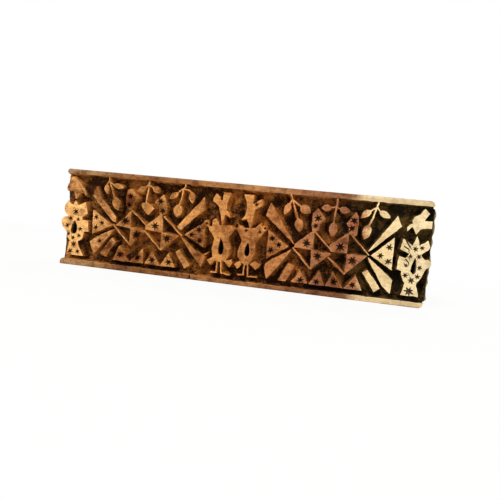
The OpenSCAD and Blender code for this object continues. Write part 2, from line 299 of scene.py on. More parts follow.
VASES = [
    [(2, 40), (5.5, 37.6), (7, 40.4), (9.5, 37.6), (14, 40), (16, 33.2), (12.3, 30.2),
     (13, 28.8), (16.8, 28.3), (17.4, 21.8), (14.6, 21.5), (13.6, 16.8), (11, 15.3), (12, 12),
     (15.5, 6.5), (4, 6.5), (5.6, 15.2), (3.8, 17.5), (2.7, 21), (-0.5, 24), (-1.2, 26),
     (-1.1, 28.3), (0.5, 29.8), (3.8, 30), (0.6, 33), (0, 36)],
    [(93.5, 33.3), (96, 33.5), (95.8, 37), (97.5, 38.3), (99.5, 36), (100, 34.5), (107.5, 35),
     (108.8, 32.5), (106.5, 28.5), (106.3, 26.5), (107.7, 22), (107.7, 18), (105.7, 14),
     (102.5, 12.8), (100, 13), (98.3, 15), (97, 20), (97.8, 26.8), (94.5, 31)],
    [(111.5, 32), (112, 35.5), (114, 35.5), (115, 34.5), (121.5, 35), (124.6, 37.8),
     (125.8, 35.4), (127.4, 34.4), (125.5, 31), (122.3, 26), (122.5, 20), (121, 14.5),
     (118, 12.8), (115.5, 14), (113.3, 17), (112.8, 20), (114.5, 27), (113, 30)],
    [(205.5, 38), (204.3, 32), (209.5, 29.7), (208, 27), (205.5, 27.5), (204, 28), (203.6, 20.6),
     (206.3, 19.8), (206.3, 18.5), (207.5, 15), (208.7, 13), (208, 9), (207, 6.3), (216.7, 6.5),
     (215, 12), (214.7, 13.5), (217, 17), (218, 20), (219, 22.6), (220.8, 23.4), (221.6, 25),
     (221.2, 26.6), (219.6, 27.6), (218, 27.2), (216.5, 28.5), (215.5, 30), (219.5, 33.2),
     (220, 34.5), (218.5, 38.2), (215, 35.3), (214.2, 34.5), (213.8, 37), (212.6, 40), (211, 36),
     (210.5, 34.5)]]

DROPS = [
    [(7.7, 28), (6, 25), (5.7, 22), (6.3, 20), (7.8, 19.5), (9.3, 20), (10, 22), (9.8, 25),
     (8.8, 27.5)],
    [(101.6, 27), (100.9, 24), (100.6, 20.5), (101.3, 17.8), (102.6, 17), (103.8, 18.2),
     (104.2, 21), (103.4, 24.5)],
    [(118.3, 26.3), (117, 23.4), (116.5, 20.5), (117.2, 18.4), (118.3, 17.9), (119.4, 18.8),
     (119.8, 21), (119.2, 24)],
    [(212.7, 28), (211.2, 24), (210.8, 20.5), (212.5, 18.2), (213.7, 19.5), (214, 22),
     (213.6, 26)]]

FANS = [
    # Left panel, left side
    [(19.7, 35.7), (20.2, 21), (32.8, 27.5)],
    [(34.8, 29.5), (35, 32.5), (29, 39.5), (24, 43), (20.5, 50.5), (18.6, 44.3), (33, 30)],
    [(34.5, 25.4), (24, 19.8), (19, 15.9), (22.3, 8.3), (27, 14.5), (31, 20)],
    [(33.5, 19.8), (36, 17.5), (30.5, 7.7), (26.5, 9.5)],
    # Left panel, right side
    [(74.4, 31), (89.8, 50.3), (90.3, 43), (76.6, 28.7)],
    [(79.5, 26.5), (91.8, 36), (91.5, 20.5)],
    [(77.2, 25), (87, 18), (93.5, 15), (91.2, 8.5), (87, 13.5), (84, 16.5)],
    [(75, 15.5), (77, 17), (84.3, 8.5), (81.5, 6.5)],
    # Right panel, left side
    [(129.8, 34.5), (130, 18.5), (141.8, 26.3)],
    [(145.5, 28), (129.3, 50.5), (127.3, 43.2), (144, 29)],
    [(143.8, 24.5), (134, 18.5), (130, 14.8), (129.3, 13), (131, 6.2), (139.5, 17.5)],
    [(143.2, 16.7), (146.3, 15), (142.3, 6.2), (138.3, 6.3)],
    # Right panel, right side
    [(187, 28.5), (201, 50), (203.7, 44.5), (188.5, 29.3)],
    [(189, 26.5), (200.5, 37.8), (201, 19.5)],
    [(187.5, 25.3), (197, 18), (202, 14), (201.3, 6.3), (196, 11), (188, 23.5)],
    [(185.3, 16.5), (187.8, 18.2), (195.8, 8.5), (192.7, 6.2)]]

TRIANGLES = [
    [(35, 27.8), (44.8, 26.9), (44.5, 37.5)],
    [(54.5, 27), (65.3, 26.5), (65.3, 33), (63.5, 37.5), (54.5, 29)],
    [(45, 27.5), (55, 26.3), (45.3, 16)],
    [(65, 26.5), (76, 25.5), (65.2, 15.3)],
    [(145.5, 26.5), (155.8, 26), (156.2, 35), (155.5, 37), (145.8, 28.5)],
    [(166, 26.3), (175.5, 26.3), (175.7, 38), (165.5, 30)],
    [(155.5, 26), (166.5, 25), (156, 14.5)],
    [(175.5, 26), (187, 26), (175.5, 14.3)]]

LOZENGES = [
    [(43, 51), (48.5, 46), (45, 42.8), (45, 39.5), (43.3, 38), (40.7, 40.5), (40.2, 46),
     (41, 50)],
    [(64, 49.3), (59, 44.3), (62, 41.5), (62.3, 38), (64, 36.5), (66.5, 38.5), (67, 42),
     (65.5, 47)],
    [(156.8, 50), (161.5, 44.5), (158.5, 41.5), (158, 38), (156.3, 36.5), (155, 36), (154, 40),
     (154.3, 47)],
    [(178.3, 50), (173.5, 43), (175, 41), (175.7, 37.5), (178.5, 36), (179.8, 37.5), (180.3, 44),
     (179.3, 48)],
    # Small ones beside the feet of the two middle vases
    [(99.8, 14), (98.3, 15.3), (94.8, 13), (97, 10.3)],
    [(105, 13.5), (109.5, 14.8), (110, 13), (108.5, 10.4)],
    [(111.5, 12.5), (113.5, 10), (115.8, 13), (114.5, 14.7)],
    [(120.8, 13.7), (123.5, 15.3), (127, 13.7), (124.3, 10.6)]]

# Each foot triangle: left corner, right corner, apex
FEET = [
    (35.3, 45.5, (38.7, 15.5)), (46, 55, (54, 15)), (56, 66, (60, 14)), (66, 75.3, (70.7, 14.3)),
    (146, 155, (150.3, 13)), (156, 165, (161.2, 14.3)), (165.3, 175.3, (169, 14.2)),
    (176, 186, (181.8, 14.2))]
FOOT_ROW = 6.2

# Leaves and buds: base, tip, width
LEAVES = [
    ((26.8, 52.3), (27.6, 46.4), 3.2), ((31.5, 52.3), (38, 51.2), 3.2),
    ((33, 44.8), (35.6, 36.8), 5), ((52.3, 52.6), (46.9, 49.6), 3.2),
    ((56.7, 53.2), (61.2, 50.6), 3.4), ((73, 51.3), (68.2, 47.4), 3.2),
    ((81.3, 52.3), (82.2, 45.8), 3.8), ((74.3, 44.2), (73.2, 36.7), 5.4),
    ((140.4, 51.5), (137.6, 44.7), 3.6), ((146.6, 50.2), (152.5, 47.3), 5),
    ((146.3, 43.2), (147.4, 35.8), 4.8), ((164.4, 51.2), (158.5, 50.4), 3.3),
    ((168.8, 51), (174.7, 50.3), 3.6), ((166.3, 43), (166.3, 34.8), 4.4),
    ((186.2, 51.7), (181, 47.2), 3.5), ((190.8, 51.7), (196.9, 48.6), 3.5),
    ((186, 43.6), (184.2, 35.3), 4.6)]
SHIELD = [(51, 43), (54, 43.5), (57, 42), (58.8, 40.3), (55.2, 36.3), (51.5, 40), (50.7, 41.5)]

# Lines of even width: width, then their points
LINES = [
    # Sprig stems and their branches
    (0.72, (28.3, 58), (28.5, 54.8), (30.4, 50), (32.8, 44)), (0.56, (28.5, 54.6), (26.6, 51.6)),
    (0.56, (28.6, 53.8), (32, 52)), (0.72, (54.5, 58), (54.2, 54.8), (53.4, 43)),
    (0.56, (54.2, 54.8), (51.6, 52.2)), (0.56, (54.2, 54.2), (57, 52.8)),
    (0.72, (77, 58), (77.4, 55.6), (76.2, 53.6), (75.4, 48), (74.2, 43.6)),
    (0.62, (76.3, 54), (72.4, 51)), (0.62, (76.6, 53.6), (79.4, 53.3), (81.4, 51.6)),
    (0.72, (139.7, 58), (141.6, 54), (144.4, 46.4), (146, 42.6)),
    (0.56, (141.5, 53.4), (140.2, 50.8)), (0.62, (141.7, 53.6), (145.6, 51), (147.4, 50)),
    (0.72, (167, 58), (167.3, 55), (166.8, 51), (166.3, 42.4)), (0.56, (166.9, 52), (163.6, 51)),
    (0.56, (166.9, 52), (169.4, 50.8)),
    (0.72, (190.2, 58), (189.3, 54.6), (187.6, 47.4), (186.1, 43)),
    (0.62, (189.1, 53.8), (185.6, 51)), (0.62, (189.4, 54), (191.4, 51.3)),
    # Thin diagonals of the zigzag
    (0.62, (33.2, 28), (45, 17)), (0.62, (54, 26.2), (65, 15.8)), (0.56, (44.6, 38), (55, 29.6)),
    (0.72, (65.8, 36), (77.6, 25.6)), (0.62, (145, 26), (155.7, 14.9)),
    (0.62, (165.3, 22.6), (175.4, 14.4)), (0.62, (156.3, 36.6), (166.4, 27)),
    (0.62, (176.6, 37.4), (187.6, 26.6)),
    # Legs of the two middle vases
    (0.65, (101, 13.4), (101, 6.4), (97.6, 6.2)), (0.65, (103.2, 13.4), (104, 6.4), (109.2, 5.8)),
    (0.65, (117.6, 13.4), (117.3, 7), (114.2, 6.6)),
    (0.65, (119.5, 13.4), (120, 6.4), (125.2, 6.2)),
    # A thin sliver by the right fan of the left panel
    (0.5, (92.2, 15.5), (94.3, 17))]

# Punched stars: place, radius
STARS = [
    (7.9, 33.5, 1.5), (4.8, 29, 1.1), (9.9, 28.8, 1.1), (3, 24.5, 1.2), (11.8, 23, 1.2),
    (4.2, 19.3, 1.1), (11.3, 18.7, 1.1), (7.5, 17, 1.2), (8.3, 13.2, 1.5), (6.3, 8.6, 1.2),
    (11.3, 8.8, 1.2), (21.8, 31.5, 1.3), (26, 28.2, 1.2), (22.2, 25.2, 1.3), (25.3, 17, 1.2),
    (41, 31, 2.1), (60.3, 29.8, 1.9), (49, 23.2, 2.2), (68.5, 23, 2), (43, 46.3, 1.6),
    (42.5, 41, 1.4), (62.3, 45, 1.6), (64.3, 39.5, 1.5), (39.5, 10, 1.7), (51, 9.3, 1.5),
    (60.5, 9, 1.7), (71, 8.8, 1.6), (88, 30.5, 1.5), (83.5, 27, 1.3), (89, 24, 1.4),
    (132.3, 30, 1.5), (136.5, 26.7, 1.4), (132.2, 23, 1.5), (152.3, 29.3, 2), (171.5, 29.3, 2.1),
    (159.3, 22.5, 1.9), (179, 22.3, 2), (157.3, 44.3, 1.7), (156.3, 39.8, 1.3), (177.5, 45, 1.6),
    (176.8, 40.5, 1.6), (151, 7.8, 1.6), (160.3, 7.8, 1.4), (170, 9, 1.7), (180.5, 8.5, 1.6),
    (198.3, 32, 1.5), (194, 26.8, 1.5), (198.5, 24, 1.5), (212.3, 32.6, 1.2), (215.8, 33.6, 1),
    (214.6, 28.5, 1.1), (210, 28.2, 0.9), (208.3, 23, 1), (215.6, 22.4, 1.1), (208.5, 17.4, 1.2),
    (215, 17.4, 1.1), (212, 15, 1.5), (211.4, 8.8, 2.2), (121, 48.7, 1), (124.7, 33, 0.9),
    (116.5, 33, 0.8)]

# Low mounds left standing on the ground: place, reach along and up, height
MOUNDS = [
    (4, 52, 12, 9, 1.5), (109.4, 47.5, 3.4, 7, 2.2), (17, 44, 4, 8, 1.6), (48, 49, 4, 4, 1.4),
    (70, 47, 4, 5, 1.2), (112.5, 6, 5, 4, 1), (163, 48, 3, 5, 1.2), (30, 24, 3, 4, 0.6)]

# Painted shade where the ground is darkest, in its narrow places: place, reach along and up,
# darkness
PAINTED_SHADE_SPOTS = [
    (3.2, 51.7, 1.2, 0.8, 0.7), (10.6, 42.4, 2.4, 2.6, 0.9), (13.2, 49.5, 1.8, 4.2, 0.8),
    (8.5, 55.6, 4, 1.2, 0.5), (16, 52, 4, 4, 0.3), (105.6, 37.6, 2.8, 2.2, 1),
    (114, 37.6, 2.4, 2.2, 1), (97.2, 28, 1.6, 4.5, 0.6), (121.3, 53.6, 2.6, 1.8, 0.8),
    (91, 54.6, 6, 1.8, 0.5), (127.6, 33, 1.4, 3.4, 0.6), (96.4, 43.6, 1.8, 4, 0.5),
    (112.4, 51, 1.4, 4, 0.7), (98, 8.6, 3, 1.8, 0.8), (108, 9, 2.6, 1.8, 0.8),
    (113.4, 8.8, 2.6, 1.6, 0.8), (122.6, 9, 2.8, 1.8, 0.8), (109.8, 28.6, 2, 3, 0.5),
    (127, 12, 2, 4, 0.5)]

# Small cracks and nicks in what prints
NICKS = [
    [(84.2, -1), (84.7, 1.2), (84.4, 2.3), (84.8, 3), (85.5, 3.1), (85.3, 2.1), (85.7, 1),
     (85.2, -1)],
    [(42.6, 59.6), (43, 58.7), (43.8, 59.1), (43.5, 59.9)],
    [(43.6, 2.6), (44, 1.8), (44.7, 2.2), (44.2, 2.9)],
    [(217, 28.2), (218.2, 27.6), (219.4, 28.4), (218.2, 29.1)],
    [(206.6, 36.7), (208.8, 33.6), (211.6, 30.2), (209.3, 34.1), (207.3, 37.1)],
    [(205.9, 37.6), (207.7, 34.8), (210.4, 31.2), (208, 35), (206.3, 37.8)],
    [(207.3, 26.4), (209.2, 24.3), (210.3, 21.7), (209.8, 24.9), (207.8, 27)],
    [(206.6, 24.6), (208.2, 22.4), (209.2, 19.7), (208.5, 22.6), (206.9, 24.9)],
    [(205.8, 33.3), (208.3, 32), (210.9, 29.9), (208.6, 32.8), (206.1, 34)],
    [(208.2, 31.3), (210.4, 28.7), (211.3, 26.6), (210.8, 28.9), (208.6, 31.6)],
    [(207.2, 29.9), (209.8, 26.2), (210.6, 23.2), (210.2, 26.3), (207.6, 30.1)],
    [(205.2, 26.2), (207.5, 25.2), (209.6, 22.9), (207.7, 25.6), (205.3, 26.5)],
    [(209.4, 19.2), (210.8, 16.9), (211.2, 15.9), (211.1, 17.1), (209.8, 19.4)],
    [(213.2, 31.4), (214.6, 31.9), (215.3, 31.2), (214.6, 32.2), (213.2, 31.8)]]

# Curled tips carved lower down beside the middle vases: place, radius
CURLS = [(92.2, 34.8, 1.9), (110.6, 35, 2.2), (127.4, 35.4, 1.7)]
CURL_DEPTH_MM = 0.4

# Stains on what prints: place, reach along and up, darkness
STAINS = [
    (40, 9, 6, 5, 0.9), (52, 9, 5, 5, 0.8), (61, 9, 4.5, 5, 0.6), (71, 9, 4.5, 5, 0.5),
    (181, 9, 4.5, 5, 0.35), (30, 13, 4.5, 6.5, 1), (22, 46, 5.5, 6, 0.45), (29, 37, 3, 4, 0.2),
    (43, 33, 4, 5.5, 0.65), (38, 29.5, 4, 2.5, 0.25), (49, 22, 5.5, 6, 1), (69, 21, 5.5, 6, 0.5),
    (43, 44, 5, 8, 0.95), (63, 43, 4, 7, 0.35), (35, 52, 4, 2, 0.4), (27, 49, 2, 3, 0.4),
    (50, 51, 4, 2.5, 0.7), (59, 52, 3, 2.5, 0.5), (55, 41, 5, 4, 0.3), (89, 28, 5, 8, 0.65),
    (90, 13, 5, 6, 0.75), (83, 19, 4, 3, 0.4), (79, 12, 4, 5, 0.25), (6, 50, 9, 8, 0.87),
    (3, 36, 3, 3, 0.15), (100, 27, 8, 8, 0.15), (118, 27, 8, 10, 0.3), (118, 47, 6, 6, 0.3),
    (133, 27, 5.5, 9, 0.6), (136, 40, 8, 8, 0.15), (136, 14, 8, 7, 0.2), (143, 11, 4, 5, 0.2),
    (152, 31, 5.5, 6, 0.27), (171, 31, 6, 7, 0.55), (160, 21, 6, 7, 0.45), (180, 22, 6, 6, 0.25),
    (157, 44, 4, 7, 0.38), (177, 44, 4, 7, 0.42), (161, 9, 4.5, 5, 0.75), (170, 9, 4.5, 5, 0.65),
    (162, 51, 4, 2, 0.25), (172, 51, 4, 2, 0.4), (166, 38, 3, 4.5, 0.3), (150, 49, 4, 3, 0.35),
    (194, 50, 4, 3, 0.2), (60, 2, 24, 2.6, 0.4), (98, 2, 28, 2.6, 0.2), (144, 2, 16, 2.6, 0.4),
    (168, 2, 12, 3, 0.5), (50, 58, 14, 1.5, 0.2), (170, 58, 8, 2, 0.15)]

RELIEF_MM = 6.4
WALL_MM = 1.3
END_RISE_MM = 3.8
DROP_DEPTH_MM = 5.6
STAR_DEPTH_MM = 2.3
GRID_MM = 0.25
KEPT_TRIANGLES = 186000
# How far round a shape its distance is worked out, and the same for what is cut into it
FAR_MM = 9.0
PIT_FAR_MM = 1.5
# How far the finish follows the distance to an outline, inside and outside it
INSIDE_MM = 3
OUTSIDE_MM = 4
# Grid lines next to the border, and the rings of the board's sides from its face to its back
BORDER_LINES_MM = (0, 0.12, 0.35, 0.7)
SIDE_RINGS = (0.12, 0.35, 0.7, 1.0)
# In grid steps: how near an outline a point is moved onto it, and how far it may move
SNAP_REACH = 0.52
SNAP_MOVE = 0.6
ON_EDGE_MM = 0.2
CROSSING_COST = 20
RIGHT_HALF_MM = 100
BELOW_SURFACE_MM = 1.5
END_COLUMNS = 20
# In grid steps: how far round a point shapes shade it, and crowd it
SHADE_REACH = 5
CROWD_REACH = 9
SHADE_SHIFT_MM = 1.5
# Painted shade on the bottom row's ground, under the feet, from here on, except in a gap: its
# middle and half its length
STRIP_START_MM = 31
STRIP_GAP_MM = (88.5, 6.5)
STRIP_SHADE = 0.6


def pointed_oval(base, tip, width):
    base, tip = np.array(base), np.array(tip)
    along = tip - base
    across = np.array([-along[1], along[0]]) / np.linalg.norm(along) * width / 2
    steps = np.linspace(0, 1, 8)
    bulge = np.sin(np.pi * steps ** 0.85) ** 0.75
    one, other = ([base + along * t + sign * across * b for t, b in zip(steps, bulge)]
                  for sign in (1, -1))
    return one + other[-2:0:-1]


def star_outline(x, z, radius, chance):
    """A punched star: thin rays with blunt tips, of uneven length, round a small middle."""
    rays = 7 if radius > 1.75 else 6
    turn = chance.uniform(0, 2)
    waist, half_tip = 0.6 * radius + 0.1, 0.25
    corners = []
    for i in range(rays):
        angle = turn + 2 * math.pi * i / rays + chance.uniform(-0.1, 0.1)
        reach = (1.15 * radius + 0.35) * chance.uniform(0.86, 1.12)
        for side, out, off in ((0, waist, -math.pi / rays), (-1, reach, 0), (1, reach, 0)):
            sine, cosine = math.sin(angle + off), math.cos(angle + off)
            across = side * half_tip
            corners.append((x + out * sine + across * cosine, z + out * cosine - across * sine))
    return corners


def distance_to_line(points, x, z):
    """Distance to the nearest of the straight lines from point to point."""
    nearest = np.full(x.shape, np.inf)
    for (ax, az), (bx, bz) in zip(points, points[1:]):
        dx, dz = bx - ax, bz - az
        share = np.clip(((x - ax) * dx + (z - az) * dz) / (dx * dx + dz * dz), 0, 1)
        nearest = np.minimum(nearest, (x - ax - share * dx) ** 2 + (z - az - share * dz) ** 2)
    return np.sqrt(nearest)


def distance_to_outline(outline, x, z):
    """Distance to a closed outline, negative inside it."""
    closed = list(outline) + [outline[0]]
    inside = np.zeros(x.shape, bool)
    for (ax, az), (bx, bz) in zip(closed, closed[1:]):
        if bz != az:
            inside ^= ((az > z) != (bz > z)) & (x < ax + (z - az) * (bx - ax) / (bz - az))
    return distance_to_line(closed, x, z) * np.where(inside, -1, 1)


def drift(x, z, size, seed):
    """Smooth random values from -1 to 1, with hills about size millimetres apart."""
    n = 64
    lattice = np.random.RandomState(seed).uniform(-1, 1, (n, n))
    gx, gz = x / size + 1000, z / size + 1000
    ix, iz = np.floor(gx).astype(int), np.floor(gz).astype(int)
    fx, fz = gx - ix, gz - iz
    fx, fz = fx * fx * (3 - 2 * fx), fz * fz * (3 - 2 * fz)

    def value(a, b):
        return lattice[a % n, (b * 7 + a // n) % n]

    low = value(ix, iz) * (1 - fx) + value(ix + 1, iz) * fx
    high = value(ix, iz + 1) * (1 - fx) + value(ix + 1, iz + 1) * fx
    return low * (1 - fz) + high * fz


def gouge_cuts(x, z, length, width, turn, seed):
    """Overlapping hollow cuts: 0 in the middle of a cut, up to 1 on the ridge between cuts."""
    n = 61
    c, s = math.cos(turn), math.sin(turn)
    gx, gz = (x * c + z * s) / length, (z * c - x * s) / width
    ix, iz = np.floor(gx).astype(int), np.floor(gz).astype(int)
    jitter = np.random.RandomState(seed).uniform(0, 1, (2, n, n))
    nearest = np.ones(x.shape)
    for ox in (-1, 0, 1):
        for oz in (-1, 0, 1):
            cx, cz = ix + ox, iz + oz
            px = cx + jitter[0, cx % n, cz % n]
            pz = cz + jitter[1, cx % n, cz % n]
            nearest = np.minimum(nearest, np.hypot(gx - px, gz - pz))
    return nearest


def spot(x, z, place_x, place_z, reach_x, reach_z):
    """1 round a place, and 0 beyond its reach along and up, with soft edges."""
    return np.exp(-((x - place_x) / reach_x) ** 4 - ((z - place_z) / reach_z) ** 4)


def blurred(values, reach):
    """The share of grid points round each one that are true."""
    padded = np.pad(values.astype(float), reach + 1, mode="edge")
    sums = padded.cumsum(0).cumsum(1)
    n = 2 * reach + 1
    rows, columns = values.shape
    total = (sums[n:n + rows, n:n + columns] - sums[:rows, n:n + columns]
             - sums[n:n + rows, :columns] + sums[:rows, :columns])
    return total / n ** 2


class Carving:
    """Distances to what prints and to the holes in it, on a grid whose points may move a little."""

    def __init__(self, x, z):
        self.columns, self.rows = x[0], z[:, 0]
        leaves = [pointed_oval(*leaf) for leaf in LEAVES]
        feet = [[(a, FOOT_ROW), (b, FOOT_ROW), apex] for a, b, apex in FEET]
        solid = RAILS + BIRDS + VASES + FANS + TRIANGLES + LOZENGES + feet + leaves + [SHIELD]
        chance = np.random.RandomState(4)
        stars = [star_outline(*star, chance) for star in STARS]
        self.raised = [(o, self.window(o, FAR_MM)) for o in solid]
        self.lines = [(width, p, self.window(p, FAR_MM)) for width, *p in LINES]
        self.drops = [(o, self.window(o, PIT_FAR_MM)) for o in DROPS]
        self.stars = [(o, self.window(o, PIT_FAR_MM)) for o in stars + NICKS]

    def window(self, outline, reach):
        """The part of the grid round an outline."""
        points = np.array(outline, float)
        (x0, z0), (x1, z1) = points.min(0) - reach, points.max(0) + reach
        columns = np.searchsorted(self.columns, (x0, x1))
        rows = np.searchsorted(self.rows, (z0, z1))
        return slice(*rows), slice(*columns)

    def measure(self, x, z):
        """Distances at the moved grid points: to what prints, to a drop and to a star."""
        # Outlines cut by hand wander a little
        wx = x + 0.17 * drift(x, z, 3.1, 11) + 0.1 * drift(x, z, 1.1, 12)
        wz = z + 0.17 * drift(x, z, 3.1, 13) + 0.1 * drift(x, z, 1.1, 14)
        # The left half stands a little further left, and the right half a little lower
        wx = wx + 0.2 * np.clip((110 - x) / 30, 0, 1)
        wz = wz + 0.1 * np.clip((x - 80) / 20, 0, 1)

        def nearest(shapes, x, z):
            field = np.full(x.shape, FAR_MM)
            for outline, w in shapes:
                field[w] = np.minimum(field[w], distance_to_outline(outline, x[w], z[w]))
            return field

        raised = nearest(self.raised, wx, wz)
        for width, points, w in self.lines:
            off = distance_to_line(points, wx[w], wz[w]) - width / 2
            raised[w] = np.minimum(raised[w], off)
        return raised, nearest(self.drops, wx, wz), nearest(self.stars, x, z)

    def snap(self, home_x, home_z):
        """Moves the nearest grid points onto the outlines, so that the edges are crisp. Gives the
        moved grid, each point's distance to an edge, and which points lie on one."""
        x, z = home_x, home_z
        border = len(BORDER_LINES_MM)
        free = np.zeros(x.shape, bool)
        free[border:-border, border:-border] = True
        most = SNAP_MOVE * GRID_MM
        for turn in range(3):
            raised, drop, star = self.measure(x, z)
            edge = np.maximum(raised, -np.minimum(drop, star))
            if turn == 0:
                dz, dx = np.gradient(edge, self.rows, self.columns)
                size = np.maximum(np.hypot(dx, dz), 0.3)
                dx, dz = dx / size, dz / size
                snapped = free & (np.abs(edge) < SNAP_REACH * GRID_MM)
            step = np.where(snapped, edge, 0)
            x = np.clip(x - step * dx, home_x - most, home_x + most)
            z = np.clip(z - step * dz, home_z - most, home_z + most)
        return x, z, edge, snapped


def grid_lines(low, high):
    """From one border to the other, closer together at both."""
    count = int(round((high - low - 2) / GRID_MM)) + 1
    border = np.array(BORDER_LINES_MM)
    return np.concatenate([low + border, np.linspace(low + 1.0, high - 1.0, count),
                           high - border[::-1]])


def ground_depth(x, z, right):
    """The ground is uneven, with gouge cuts, mounds and curls, and rises at the right end."""
    cuts = gouge_cuts(x, z, 4.2, 2.1, 0.5, 21)
    ground = RELIEF_MM - 0.6 * cuts ** 2 + 0.5 * drift(x, z, 9, 22) + 0.25 * drift(x, z, 2.4, 23)
    between_rails = np.clip((z - 3.2) / 2, 0, 1) * np.clip((57 - z) / 1.5, 0, 1)
    ground = ground - END_RISE_MM * between_rails * np.clip((x - right + 3.4) / 3, 0, 1) ** 1.5
    for *where, height in MOUNDS:
        ground = ground - height * spot(x, z, *where)
    for cx, cz, radius in CURLS:
        off_ring = np.abs(np.hypot(x - cx, z - cz) - 0.7 * radius) / (0.38 * radius)
        curl = CURL_DEPTH_MM + 4 * np.clip(off_ring - 0.75, 0, 2)
        ground = np.where(off_ring < 1.6, np.minimum(ground, curl), ground)
    return ground


def face_depth(x, z, right, border, raised, drop, star):
    """Depth below the printing surface: worn tops, sloping walls, the ground and punched holes."""
    wall_reach = WALL_MM * (1 + 0.35 * drift(x, z, 5, 24) + 0.12 * drift(x, z, 1.5, 25))
    slope = np.clip(raised / wall_reach, 0, 1)
    depth = np.where(raised > 0, ground_depth(x, z, right) * (1 - (1 - slope) ** 1.5), 0)
    # Soft hollows in the worn surface, and rounding along the edges and the border
    into = np.clip(-raised, 0, INSIDE_MM)
    top = 0.06 + 0.05 * drift(x, z, 14, 31) + 0.03 * drift(x * 0.3, z, 2.2, 32)
    top = top + 0.14 * np.exp(-into / 0.35)
    off_border = 1 - np.clip(border / 0.9, 0, 1)
    top = top + 0.55 * (1 - np.sqrt(np.clip(1 - off_border ** 2, 0, 1)))
    drop_depth = DROP_DEPTH_MM * np.clip(-drop / 0.9, 0, 1) ** 0.7
    star_depth = STAR_DEPTH_MM * np.clip(-star / 0.55, 0, 1)
    pit = np.where(raised <= 0, np.maximum(drop_depth, star_depth), 0)
    return np.maximum(depth, 0) + np.clip(top, 0.01, 2) + pit


def shaped_ends(x, z, home_x, left, right, depth):
    """The board's ends are a little uneven where they were sawn and carved."""
    rim = np.clip(1 - (home_x - left) / 3, 0, 1) - np.clip(1 - (right - home_x) / 3, 0, 1)
    at_right = home_x > RIGHT_HALF_MM
    wave = 0.35 + 0.3 * np.sin(z / 1.25 + 1.5 * drift(x * 0, z, 6, 41)) * at_right
    wave = np.clip(wave + 0.25 * drift(x * 0, z, 4, 42), 0, 1.2)
    corner = 2.3 * np.clip(1 - z / 4, 0, 1) ** 1.5 + 1.2 * np.clip((z - 57.5) / 3, 0, 1)
    sunk = np.where(depth > BELOW_SURFACE_MM, wave + at_right * corner, 0.15)
    return x + rim * sunk


def face_marks(x, z, raised, drop, pit_edge):
    """What the finish has to know at each grid point, by the names of its attributes."""
    # How far a point lies in a punched hole, where the finish paints near-black shade
    in_hole = np.clip(-pit_edge / 0.15, 0, 1) * (raised <= 0) * np.where(drop < 0, 1, 0.8)
    stain = np.zeros(x.shape)
    bent_x, bent_z = x + 1.5 * drift(x, z, 4, 51), z + 1.2 * drift(x, z, 3, 52)
    for *where, dark in STAINS:
        stain = np.maximum(stain, dark * spot(bent_x, bent_z, *where))
    # To the right of a shape the walls face the light, and to its left the ground is in its shadow
    round_about = blurred(raised < 0, SHADE_REACH)
    shift = int(SHADE_SHIFT_MM / GRID_MM)
    shadow = np.roll(round_about, -shift, 1) - np.roll(round_about, shift, 1)
    shadow = np.where(shadow < 0, shadow * np.clip((x - 80) / 25, -0.1, 1), shadow)
    # Painted shade round each curl, and a near-black dot of painted shade at its middle
    for cx, cz, radius in CURLS:
        off = np.hypot(x - cx, z - cz) / radius
        shadow = shadow + 0.6 * np.exp(-off ** 2)
        in_hole = np.maximum(in_hole, np.clip(1.3 - off / 0.35, 0, 1))
    # Painted shade in the darkest narrow places of the ground
    for *where, dark in PAINTED_SHADE_SPOTS:
        shadow = shadow + dark * spot(x, z, *where)
    # Painted shade along the bottom row, under the feet
    gap, half_gap = STRIP_GAP_MM
    strip = (z < FOOT_ROW - 0.2) * np.clip((np.abs(x - gap) - half_gap) / 3, 0, 1)
    shadow = shadow + (STRIP_SHADE - shadow) * strip * np.clip((x - STRIP_START_MM) / 4, 0, 1)
    return {"outside": np.clip(raised, 0, OUTSIDE_MM), "inside": np.clip(-raised, 0, INSIDE_MM),
            "pit": in_hole, "stain": stain, "crowd": blurred(raised < 0, CROWD_REACH),
            "shadow": shadow}


def board_mesh(x, z, home_x, home_z, depth, kind):
    """Vertices and faces: the face in triangles, which follow its ridges and the shapes' outlines,
    then the sides and the back."""
    front = np.stack([(x + RULE_START_MM) * MM, FACE_Y + depth * MM, z * MM], -1).reshape(-1, 3)
    number = np.arange(x.size).reshape(x.shape)
    a, b, c, d = number[:-1, :-1], number[:-1, 1:], number[1:, 1:], number[1:, :-1]
    kind, level = kind.ravel(), depth.ravel()

    def cost(p, q):
        return np.abs(level[p] - level[q]) + CROSSING_COST * (kind[p] * kind[q] < 0)

    split = (cost(a, c) <= cost(b, d))[..., None]
    first = np.where(split, np.stack([a, b, c], -1), np.stack([a, b, d], -1))
    second = np.where(split, np.stack([a, c, d], -1), np.stack([b, c, d], -1))
    faces = np.concatenate([first.reshape(-1, 3), second.reshape(-1, 3)]).tolist()
    vertices = front.tolist()

    rim = np.concatenate([number[0, :], number[1:, -1], number[-1, -2::-1], number[-2:0:-1, 0]])
    px, py, pz = front[rim].T
    hx, hz = home_x.ravel()[rim] + RULE_START_MM, home_z.ravel()[rim]
    previous = rim
    for share in SIDE_RINGS:
        keep = (1 - share) ** 2
        ring = len(vertices) + np.arange(len(rim))
        vertices += np.stack([keep * px + (1 - keep) * hx * MM, py + (BACK_OF_FACE_Y - py) * share,
                              keep * pz + (1 - keep) * hz * MM], -1).tolist()
        faces += np.stack([np.roll(previous, -1), previous, ring, np.roll(ring, -1)], -1).tolist()
        previous = ring
    return vertices, faces + [previous[::-1].tolist()]


